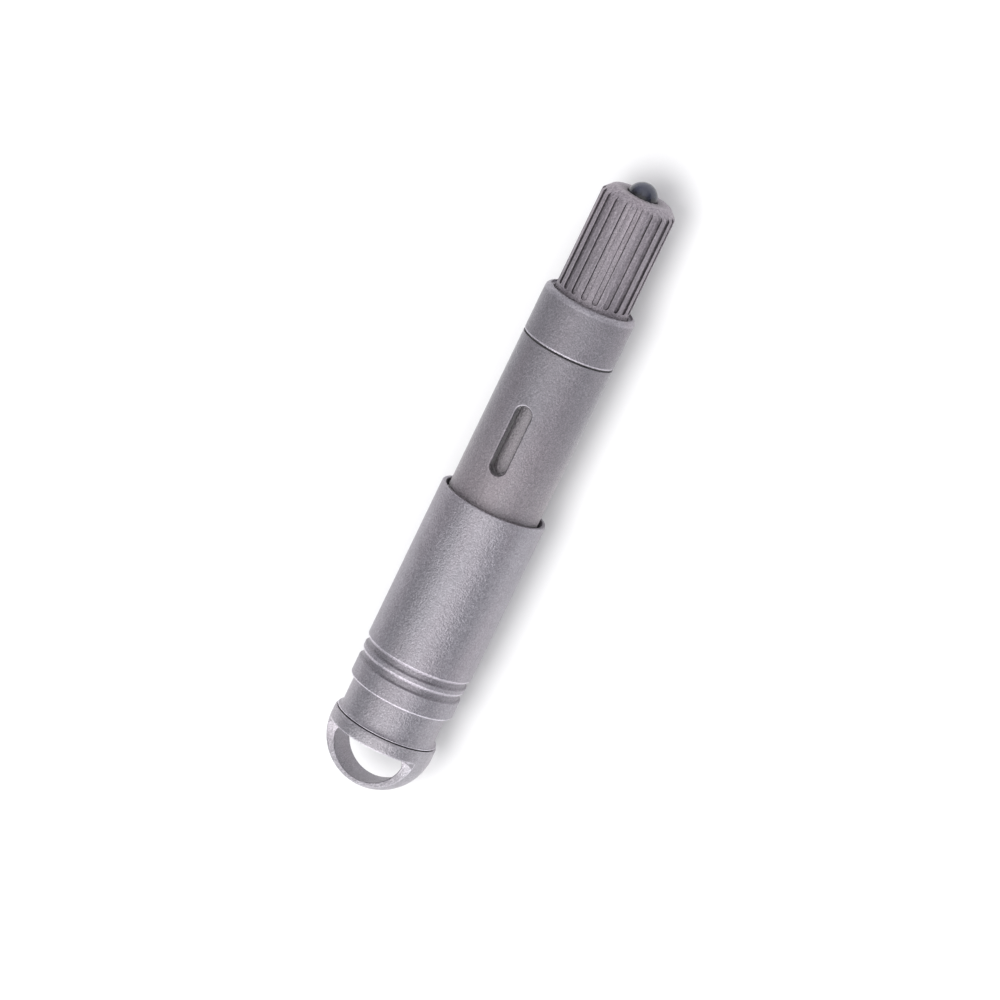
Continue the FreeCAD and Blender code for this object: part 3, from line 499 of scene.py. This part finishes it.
CAP_A, CAP_B = start_of("tail_cap"), end_of("tail_cap")
FLARE = radius_of("tail_cap")
NECK = FLARE - 0.57
cap = [
    (CAP_A, 5.05),
    (CAP_A, FLARE, 0.05),
    (CAP_A + 0.11, FLARE, 0.03),
    *hollow(CAP_A + 0.11, FLARE, CAP_A + 0.95, NECK, 0.9, 10),
    (CAP_A + 0.95, NECK),
    (SLEEVE_A, NECK, 0.03),
    (SLEEVE_A, 7.35),
    (CAP_A + 6.2, 7.35),
    (CAP_A + 6.2, 6.45),
    (CAP_A + 7.5, 6.45),
    (CAP_A + 7.5, 7.35),
    (CAP_B - 0.4, 7.35),
    (CAP_B, 6.95),
    (CAP_B, 5.6),
    (CAP_B - 3.0, 5.6),
    (CAP_B - 3.0, 0.0),
    (CAP_B - 4.0, 0.0),
    (CAP_B - 4.0, 1.5),
    (CAP_A + 3.2, 1.5),
    (CAP_A + 3.2, 5.05),
]
lathe("tail_cap_neck", dense(cap), "sleeve", ["tail_cap"], TI_CAP)

COL_A, COL_B = start_of("collar"), end_of("collar")
BARREL_R = radius_of("barrel")
# edge marks: minus at the back darkens the seam with painted shade, plus beside it and on the front round lightens them
# as rubbed metal with a painted highlight
collar = [
    (COL_A, 6.95),
    (COL_A, BARREL_R - 0.24, 0.02, -1.0),
    (COL_A + 0.14, BARREL_R - 0.11, 0.0, -0.3),
    (COL_A + 0.18, BARREL_R - 0.09, 0.0, 1.0),
    (COL_A + 0.38, BARREL_R, 0.05, 1.0),
    (COL_A + 0.46, BARREL_R, 0.0, 0.0),
    (COL_B - 0.66, BARREL_R, 0.0, 0.0),
    (COL_B - 0.55, BARREL_R, 0.04, 0.35),
    *[(x, r, 0.0, 0.40) for x, r in arc(COL_B - 0.58, BARREL_R - 0.93, 0.93, 78, 12, 8)],
    (COL_B, 6.95, 0.03, 0.5),
    (COL_B, 6.5, 0.04, 0.1),
    (COL_B - 1.4, 6.5),
    (COL_B - 1.4, 7.25),
    (COL_B - 2.5, 7.25),
    (COL_B - 2.5, 6.5),
    (COL_B - 5.35, 6.5),
    (COL_B - 5.35, 6.95),
]
lathe("collar_ring", dense(collar), "barrel", ["collar"], TI_COLLAR)

LENS_A, LENS_B = start_of("dome_lens"), end_of("dome_lens")
DOME = 2.49
dome = [(LENS_A, 0.0), (LENS_A, 3.4, 0.05), (LENS_A + 0.85, 3.4, 0.05), (LENS_A + 0.85, DOME), (LENS_B - DOME - 0.05, DOME)]
dome += arc(LENS_B - DOME, 0.0, DOME, 90, 0, 28)
dome[-1] = (LENS_B, 0.0)
lathe("dome_lens_glass", dense(dome), "head", ["dome_lens"], GLASS, around=128)


# ---------------------------------------------------------------------------
# Barrel with the slot through its upper wall
# ---------------------------------------------------------------------------
BAR_A, BAR_B = start_of("barrel"), end_of("barrel")
BORE = 5.8
SHOULDER = COL_A - 0.14
SLOT_A, SLOT_B, SLOT_HALF = BAR_A + 23.16, BAR_A + 35.3, 1.4
WINDOW_A, WINDOW_B = SLOT_A - 1.3, SLOT_B + 1.3


def stadium(count, grow):
    """Points round the slot's outline grown by that much, from the middle of its tail end."""
    half = SLOT_HALF + grow
    xa, xb = SLOT_A + SLOT_HALF, SLOT_B - SLOT_HALF
    straight, cap_len = xb - xa, math.pi * half
    total = 2 * (straight + cap_len)
    pts = []
    for k in range(count):
        s = total * k / count
        if s < cap_len / 2:
            a = s / half
            pts.append((xa - half * math.cos(a), half * math.sin(a)))
        elif s < cap_len / 2 + straight:
            pts.append((xa + s - cap_len / 2, half))
        elif s < 1.5 * cap_len + straight:
            a = (s - cap_len / 2 - straight) / half
            pts.append((xb + half * math.sin(a), half * math.cos(a)))
        elif s < 1.5 * cap_len + 2 * straight:
            pts.append((xb - (s - 1.5 * cap_len - straight), -half))
        else:
            a = (s - 1.5 * cap_len - 2 * straight) / half
            pts.append((xa - half * math.sin(a), -half * math.cos(a)))
    return pts


def barrel_tube():
    around, arm = 256, 14
    stops = 30
    window = [WINDOW_A + (WINDOW_B - WINDOW_A) * k / stops for k in range(stops + 1)]
    before = dense([
        (BAR_A, BORE), (BAR_A, BARREL_R - 0.3, 0.04), (BAR_A + 0.3, BARREL_R, 0.04), (BAR_A + 0.8, BARREL_R, 0.03), (BAR_A + 0.8, BARREL_R - 0.5, 0.03),
        (BAR_A + 4.4, BARREL_R - 0.5, 0.03), (BAR_A + 4.4, BARREL_R, 0.03), (WINDOW_A - 0.5, BARREL_R),
    ], closed=False)
    outer = [(x, BARREL_R, 0.0) for x in window]
    # minus edge marks at the shoulder darken the seam under the collar with painted shade
    after = dense([
        (WINDOW_B + 0.5, BARREL_R), (SHOULDER - 0.06, BARREL_R, 0.02, -0.2), (SHOULDER, BARREL_R - 0.06, 0.02, -1.0), (SHOULDER, BARREL_R - 0.9, 0.0, -1.0), (SHOULDER + 0.37, BARREL_R - 0.9),
        (SHOULDER + 0.37, 6.2), (SHOULDER + 1.27, 6.2), (SHOULDER + 1.27, BARREL_R - 0.9), (BAR_B - 0.2, BARREL_R - 0.9), (BAR_B, BARREL_R - 1.1), (BAR_B, BORE),
        (WINDOW_B + 0.5, BORE),
    ], closed=False)
    inner = [(x, BORE, 0.0) for x in reversed(window)]
    tail = [(BAR_A + (WINDOW_A - BAR_A) * f, BORE, 0.0) for f in (0.97, 0.8, 0.6, 0.4, 0.2)]
    rows = before + outer + after + inner + tail
    first_outer, first_inner = len(before), len(before) + len(outer) + len(after)
    verts, edge = [], []
    for x, r, e in rows:
        for j in range(around):
            verts.append(put(x, r, 2 * math.pi * j / around))
            edge.append(e)

    def at(i, j):
        return (i % len(rows)) * around + j % around

    faces = []
    for i in range(len(rows)):
        in_window = first_outer <= i < first_outer + stops or first_inner <= i < first_inner + stops
        for j in range(-arm, around - arm):
            if in_window and -arm <= j < arm:
                continue
            faces.append((at(i, j), at(i, j + 1), at(i + 1, j + 1), at(i + 1, j)))

    def rim(row_of):
        """Grid vertices round the window, from the middle of its tail side towards +theta."""
        loop = [at(row_of(0), j) for j in range(0, arm)]
        loop += [at(row_of(k), arm) for k in range(0, stops)]
        loop += [at(row_of(stops), j) for j in range(arm, -arm, -1)]
        loop += [at(row_of(k), -arm) for k in range(stops, 0, -1)]
        loop += [at(row_of(0), j) for j in range(-arm, 0)]
        return loop

    outer_loop = rim(lambda k: first_outer + k)
    inner_loop = rim(lambda k: first_inner + stops - k)
    count = len(outer_loop)
    spots = []
    for idx in outer_loop:
        x, y, z = verts[idx]
        spots.append(((x - BOW_END) / MM, -(y - AXIS_Y) / MM))

    def add_ring(points, radius, depth, mark, end_highlight=0.0):
        """Points are (station, sideways); each lies on that radius, then sinks by depth. The last argument lightens the
        bevel at the slot's head end with a painted highlight."""
        ids = []
        for x, w in points:
            z = math.sqrt(max(radius * radius - w * w, 0.0)) - depth
            ids.append(len(verts))
            verts.append((BOW_END + x * MM, AXIS_Y - w * MM, AXIS_Z + z * MM))
            edge.append(mark + end_highlight * min(max((x - SLOT_B + SLOT_HALF) / SLOT_HALF, 0.0), 1.0))
        return ids

    def spun(points, shift):
        return points[shift:] + points[:shift]

    rings = [outer_loop]
    target = stadium(count, 0.30)
    for f in (0.34, 0.68):
        blend_pts = [((1 - f) * a[0] + f * b[0], (1 - f) * a[1] + f * b[1]) for a, b in zip(spots, target)]
        rings.append(add_ring(blend_pts, BARREL_R, 0.0, 0.0))
    # edge marks: plus on the rim's bevel lightens it as rubbed metal with a painted highlight, minus on the slot's
    # walls darkens them with painted shade
    for grow, depth, mark in ((0.30, 0.0, 0.0), (0.255, 0.004, 0.3), (0.225, 0.018, 0.5), (0.20, 0.042, 0.5), (0.12, 0.120, -0.2), (0.045, 0.195, -1.0), (0.02, 0.225, -1.0), (0.005, 0.258, -1.0), (0.0, 0.30, -1.0), (0.0, 0.38, -1.0)):
        rings.append(add_ring(stadium(count, grow), BARREL_R, depth, mark, 0.9 if 0.1 < grow < 0.28 else 0.0))
    for f in (0.35, 0.7):
        pts = stadium(count, 0.0)
        ids = []
        for x, w in pts:
            top = math.sqrt(BARREL_R**2 - w * w) - 0.38
            low = math.sqrt(BORE**2 - w * w)
            ids.append(len(verts))
            verts.append((BOW_END + x * MM, AXIS_Y - w * MM, AXIS_Z + (top + (low - top) * f) * MM))
            edge.append(-1.0)
        rings.append(ids)
    rings.append(add_ring(stadium(count, 0.0), BORE, 0.0, -1.0))
    spots_in = []
    for idx in inner_loop:
        x, y, z = verts[idx]
        spots_in.append(((x - BOW_END) / MM, -(y - AXIS_Y) / MM))
    for f in (0.6, 0.3):
        blend_pts = [((1 - f) * a[0] + f * b[0], (1 - f) * a[1] + f * b[1]) for a, b in zip(spots_in, stadium(count, 0.0))]
        rings.append(add_ring(blend_pts, BORE, 0.0, 0.0))
    rings.append(inner_loop)
    for a, b in zip(rings, rings[1:]):
        for k in range(count):
            n = (k + 1) % count
            faces.append((a[k], a[n], b[n], b[k]))
    return verts, face_out(verts, faces), edge


verts, faces, edge = barrel_tube()
build("barrel_tube", verts, faces, edge, "barrel", ["barrel"], TI_BARREL)


# ---------------------------------------------------------------------------
# Fluted head
# ---------------------------------------------------------------------------
HEAD_A, HEAD_B = start_of("fluted_head"), end_of("fluted_head")
HEAD_R, FLUTE_FLOOR, FLUTE_HALF, FLUTES, FLUTE_TURN = 6.3, 5.9, 0.475, 20, math.radians(-1.8)
FLUTE_A = HEAD_A + 5.8


def fluted_head_shell():
    pitch = 2 * math.pi / FLUTES
    # minus edge marks in the front bore darken it with painted shade
    front = dense([
        (HEAD_A + 4.32, HEAD_R), (HEAD_B - 1.45, HEAD_R, 0.3, 0.1), (HEAD_B, 4.95, 0.9, 0.15), (HEAD_B, 2.76, 0.05, -0.3), (HEAD_B - 0.14, 2.62, 0.05, -1.0), (HEAD_B - 2.9, 2.62, 0.0, -1.0),
    ], closed=False, step=0.4)
    back = dense([
        (HEAD_B - 2.9, 3.5), (HEAD_B - 4.6, 3.5), (HEAD_B - 4.6, 4.6), (HEAD_A + 7.5, 4.6), (HEAD_A + 7.5, 5.2), (HEAD_A + 5.3, 5.2), (HEAD_A + 5.3, 5.85),
        (HEAD_A, 5.85), (HEAD_A, 6.27), (HEAD_A + 0.15, 6.42), (HEAD_A + 4.2, 6.42),
    ], closed=False, step=3.0)
    rows = [(x, r, e, 0.0, FLUTE_HALF) for x, r, e in back]
    rows += [(x, HEAD_R, 0.0, 0.0, FLUTE_HALF) for x in (HEAD_A + 4.32, HEAD_A + 5.0, FLUTE_A - 0.35, FLUTE_A - 0.1)]
    rows.append((FLUTE_A, HEAD_R, 0.2, 0.0, 0.06))
    for deg in (8, 20, 34, 48, 62, 76, 90):
        a = math.radians(deg)
        rows.append((FLUTE_A + FLUTE_HALF * (1 - math.cos(a)), HEAD_R, 0.0, 1.0, FLUTE_HALF * math.sin(a)))
    for x, r, e in front:
        if x > FLUTE_A + FLUTE_HALF + 0.1 or r < HEAD_R - 0.01:
            rows.append((x, r, e, 1.0 if r > FLUTE_FLOOR else 0.0, FLUTE_HALF))
    verts, edge, index = [], [], []
    for x, r, e, cut, half in rows:
        sink = max(r - FLUTE_FLOOR, 0.0) * cut
        lip = min(1.0, half / 0.25)
        side = []  # (sideways from the groove's centre, depth under the land, edge mark), centre outwards
        # edge marks: minus on the flute walls darkens them with painted shade, plus beside the lands' edges lightens
        # them with a painted highlight
        for w, d, mark in ((0.0, 1.0, 0.06), (0.5, 1.0, 0.06), (0.74, 1.0, 0.0), (0.86, 0.99, -0.8), (1.0, 0.8, -1.0), (1.0, 0.4, -1.0)):
            side.append((half * w, sink * d, mark if cut else 0.0))
        for w, d, mark in ((0.0, 0.075, -0.7), (0.012, 0.04, 0.1), (0.035, 0.012, 0.4), (0.07, 0.0, 0.2)):
            side.append((half + w * lip, min(d, sink * 0.4), mark if cut else 0.0))
        land_edge = math.asin(min(1.0, (half + 0.07 * lip) / r))
        angles = []
        for w, d, mark in side:
            angles.append((math.atan2(w, math.sqrt(max(r * r - w * w, 0.0)) - d), math.hypot(w, math.sqrt(max(r * r - w * w, 0.0)) - d), mark))
        for f, mark in ((0.12, 0.0), (0.5, 0.0), (1.0, 0.0)):
            angles.append((land_edge + (pitch / 2 - land_edge) * f, r, mark))
        ring = []
        for k in range(FLUTES):
            centre = k * pitch - FLUTE_TURN
            for a, rad, mark in reversed(angles[1:-1]):
                ring.append((centre - a, rad, mark))
            for a, rad, mark in angles:
                ring.append((centre + a, rad, mark))
        index.append(list(range(len(verts), len(verts) + len(ring))))
        for a, rad, mark in ring:
            verts.append(put(x, rad, a))
            edge.append(mark if mark else e)
    around = len(index[0])
    faces = []
    for i in range(len(rows)):
        a, b = index[i], index[(i + 1) % len(rows)]
        for j in range(around):
            k = (j + 1) % around
            faces.append((a[j], a[k], b[k], b[j]))
    return verts, face_out(verts, faces), edge


verts, faces, edge = fluted_head_shell()
build("fluted_head_shell", verts, faces, edge, "head", ["fluted_head"], TI_HEAD)

# ---------------------------------------------------------------------------
# CAD nodes that stay: their finishes
# ---------------------------------------------------------------------------


def plain(name, dark, light, metallic, rough, scale, detail=3.0, bump=0.2, distance=0.00005, coat=0.0):
    m = Nodes(name)
    grain = m.noise(scale, detail, 0.6)
    cloud = m.noise(scale * 0.12, 3.0, 0.5)
    mixed = m.math("ADD", m.math("MULTIPLY", grain, 0.6), m.math("MULTIPLY", cloud, 0.4))
    m.set(
        Base_Color=m.ramp(mixed, [(0.35, dark), (0.65, light)]),
        Roughness=m.remap(grain, 0.3, 0.7, rough - 0.06, rough + 0.06),
        Normal=m.bump(grain, bump, distance),
        Metallic=metallic,
        Coat_Weight=coat,
    )
    return m.mat


STEEL = plain("turned_steel", (0.42, 0.42, 0.43), (0.56, 0.56, 0.57), 1.0, 0.3, 1400)
SPRING = plain("spring_steel_wire", (0.36, 0.36, 0.37), (0.52, 0.52, 0.53), 1.0, 0.26, 2200)
BRASS = plain("gilt_brass", (0.62, 0.43, 0.16), (0.78, 0.57, 0.26), 1.0, 0.28, 1500)
RUBBER = plain("black_nitrile", (0.010, 0.010, 0.011), (0.026, 0.026, 0.028), 0.0, 0.62, 2600, bump=0.35)
ACETAL_BLACK = plain("black_acetal_turned", (0.012, 0.012, 0.013), (0.028, 0.028, 0.03), 0.0, 0.42, 2000)
ACETAL_WHITE = plain("white_acetal_turned", (0.70, 0.69, 0.66), (0.82, 0.81, 0.78), 0.0, 0.4, 2000)
MIRROR = plain("bright_reflector", (0.74, 0.75, 0.77), (0.86, 0.87, 0.89), 1.0, 0.12, 900, bump=0.05)
ANODISED = plain("black_anodised_aluminium", (0.03, 0.03, 0.034), (0.06, 0.06, 0.066), 1.0, 0.45, 2600)
BOARD_GREEN = plain("green_solder_mask", (0.008, 0.075, 0.035), (0.015, 0.12, 0.055), 0.0, 0.32, 1100, coat=0.4)
BOARD_WHITE = plain("white_solder_mask", (0.66, 0.67, 0.66), (0.80, 0.81, 0.80), 0.0, 0.38, 1100)
EMITTER = plain("silicone_phosphor", (0.62, 0.50, 0.10), (0.80, 0.68, 0.22), 0.0, 0.3, 1600, coat=0.6)
CELL_METAL = plain("nickelled_steel", (0.5, 0.49, 0.47), (0.66, 0.65, 0.62), 1.0, 0.24, 1300)
CELL_LABEL = plain("cell_sleeve_film", (0.04, 0.055, 0.09), (0.06, 0.08, 0.12), 0.0, 0.3, 500, bump=0.05, coat=0.5)

FINISH = {
    "lanyard_bow": TI_BOW, "inner_tube": TI_LINER, "tail_plug": TI_INNER, "retaining_ring": BRASS,
    "swivel_screw": STEEL, "swivel_washer": ACETAL_WHITE, "guide_ring": SPRING, "spring_seat": BRASS,
    "tail_spring": SPRING, "driver_contact": BRASS, "battery_button": CELL_METAL, "battery_cell": CELL_LABEL,
    "battery_insulator": ACETAL_WHITE, "gland_bush": ACETAL_BLACK, "bumper_pad": RUBBER, "reflector": MIRROR,
    "lens_retainer": ANODISED, "heat_sink": ANODISED, "led_board": BOARD_WHITE, "driver_board": BOARD_GREEN,
    "led_emitter": EMITTER, "tail_cap_o_ring": RUBBER, "collar_o_ring": RUBBER, "head_o_ring": RUBBER,
    "tail_plug_o_ring": RUBBER, "lens_o_ring": RUBBER,
}
for name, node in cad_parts.items():
    finish = FINISH.get(name, TI_INNER)
    if not node.data.materials:
        node.data.materials.append(finish)
    for item in node.material_slots:
        item.material = finish

# ---------------------------------------------------------------------------
# Spring behind the cell, rebuilt as a coil of wire
# ---------------------------------------------------------------------------
def spring_coil():
    wire, turns, steps, ring = 0.3, 3.5, 210, 20
    first, last = start_of("tail_spring") + wire, end_of("tail_spring") - wire
    coil = radius_of("tail_spring") - wire
    verts, faces = [], []
    for i in range(steps + 1):
        f = i / steps
        for j in range(ring):
            a = 2 * math.pi * j / ring
            verts.append(put(first + (last - first) * f + wire * math.cos(a), coil + wire * math.sin(a), 2 * math.pi * turns * f))
    for i in range(steps):
        for j in range(ring):
            k = (j + 1) % ring
            faces.append((i * ring + j, (i + 1) * ring + j, (i + 1) * ring + k, i * ring + k))
    faces.append(tuple(range(ring)))
    faces.append(tuple(reversed(range(steps * ring, (steps + 1) * ring))))
    mesh = bpy.data.meshes.new("spring_coil")
    mesh.from_pydata(verts, [], face_out(verts, faces))
    mesh.validate()
    mesh.polygons.foreach_set("use_smooth", [len(f.vertices) == 4 for f in mesh.polygons])
    mesh.materials.append(SPRING)
    mesh.update()
    obj = bpy.data.objects.new("spring_coil", mesh)
    scene.collection.objects.link(obj)
    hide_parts("tail_spring")
    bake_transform(obj)


spring_coil()

# ---------------------------------------------------------------------------
# Floor, light and camera
# ---------------------------------------------------------------------------
m = Nodes("pale_floor")
m.set(Base_Color=m.ramp(m.noise(14, 3.0, 0.5), [(0.3, (0.815, 0.815, 0.817)), (0.7, (0.825, 0.825, 0.827))]), Roughness=0.9, Specular_IOR_Level=0.1)
mesh = bpy.data.meshes.new("studio_floor")
half = 9.0
mesh.from_pydata([(-half, -half, 0), (half, -half, 0), (half, half, 0), (-half, half, 0)], [], [(0, 1, 2, 3)])
mesh.materials.append(m.mat)
floor = bpy.data.objects.new("studio_floor", mesh)
floor.location.z = cad_lo.z - 0.00002
scene.collection.objects.link(floor)

world = bpy.data.worlds.new("studio")
scene.world = world
world.use_nodes = True
tree = world.node_tree
tree.nodes.clear()
output = tree.nodes.new("ShaderNodeOutputWorld")
background = tree.nodes.new("ShaderNodeBackground")
where = tree.nodes.new("ShaderNodeTexCoord")


def glow(direction, stops):
    """Radiance round a direction, by the cosine of the angle from it."""
    dot = tree.nodes.new("ShaderNodeVectorMath")
    dot.operation = "DOT_PRODUCT"
    dot.inputs[1].default_value = Vector(direction).normalized()
    tree.links.new(where.outputs["Generated"], dot.inputs[0])
    ramp = tree.nodes.new("ShaderNodeValToRGB")
    tree.links.new(dot.outputs["Value"], ramp.inputs["Fac"])
    items = ramp.color_ramp.elements
    while len(items) < len(stops):
        items.new(0.5)
    for item, (at, colour) in zip(items, stops):
        item.position = at
        item.color = (*colour, 1.0)
    return ramp.outputs["Color"]


def combine(a, b, blend):
    node = tree.nodes.new("ShaderNodeMix")
    node.data_type = "RGBA"
    node.blend_type = blend
    node.inputs[0].default_value = 1.0
    tree.links.new(a, node.inputs[6])
    tree.links.new(b, node.inputs[7])
    return node.outputs[2]


# an overhead tent, a low panel at each end that draws the bright edges, and a dark flag on the right
tent = glow((-0.22, -0.31, 0.92), [(0.0, (0.38, 0.377, 0.41)), (0.25, (0.42, 0.418, 0.44)), (0.50, (0.62, 0.62, 0.64)), (0.75, (1.08, 1.08, 1.09)), (0.93, (1.38, 1.38, 1.38))])
flag = glow((0.0, -1.0, -0.12), [(0.0, (1.0, 1.0, 1.0)), (0.42, (1.0, 1.0, 1.0)), (0.70, (0.52, 0.52, 0.56)), (1.0, (0.25, 0.25, 0.29))])
front = glow((-0.90, -0.10, 0.40), [(0.0, (0.0, 0.0, 0.0)), (0.72, (0.0, 0.0, 0.0)), (0.88, (1.0, 1.0, 1.0)), (1.0, (1.5, 1.5, 1.5))])
rear = glow((0.90, 0.0, 0.43), [(0.0, (0.0, 0.0, 0.0)), (0.74, (0.0, 0.0, 0.0)), (0.90, (0.5, 0.5, 0.5)), (1.0, (0.75, 0.75, 0.75))])
tree.links.new(combine(combine(combine(tent, flag, "MULTIPLY"), front, "ADD"), rear, "ADD"), background.inputs["Color"])
tree.links.new(background.outputs["Background"], output.inputs["Surface"])
background.inputs["Strength"].default_value = 1.0

# the key only draws the soft shadow on the floor: the metal sees the tent
key = bpy.data.lights.new("floor_key", "SUN")
key.energy = 1.30
key.angle = math.radians(32)
key_obj = bpy.data.objects.new("floor_key", key)
key_obj.rotation_mode = "QUATERNION"
key_obj.rotation_quaternion = Vector((-0.18, 0.10, 0.97)).normalized().to_track_quat("Z", "Y")
key_obj.visible_glossy = False
scene.collection.objects.link(key_obj)

X, Y, Z = Vector((1, 0, 0)), Vector((0, 1, 0)), Vector((0, 0, 1))
tau, phi, roll = math.radians(13.47), math.radians(14.5), math.radians(25.85)
normal = math.cos(phi) * Z - math.sin(phi) * Y
back = math.sin(tau) * X + math.cos(tau) * normal
e = (X - X.dot(back) * back).normalized()
side = e.cross(back)
up = math.cos(roll) * e - math.sin(roll) * side
right = math.sin(roll) * e + math.cos(roll) * side
centre_x = (cad_lo.x + cad_hi.x) / 2
eye = Vector((centre_x + 0.00395, AXIS_Y, AXIS_Z)) + back * 1.262 - right * 0.00203 - up * 0.00567
cam = bpy.data.cameras.new("camera")
cam.sensor_width = 36.0
cam.lens = 286.2
cam.clip_start = 0.01
cam.clip_end = 50.0
cam_obj = bpy.data.objects.new("camera", cam)
turn = Matrix((right, up, back)).transposed()
cam_obj.matrix_world = Matrix.Translation(eye) @ turn.to_4x4()
scene.collection.objects.link(cam_obj)
scene.camera = cam_obj
scene.view_settings.view_transform = "Standard"
scene.view_settings.look = "None"

bpy.context.view_layer.update()
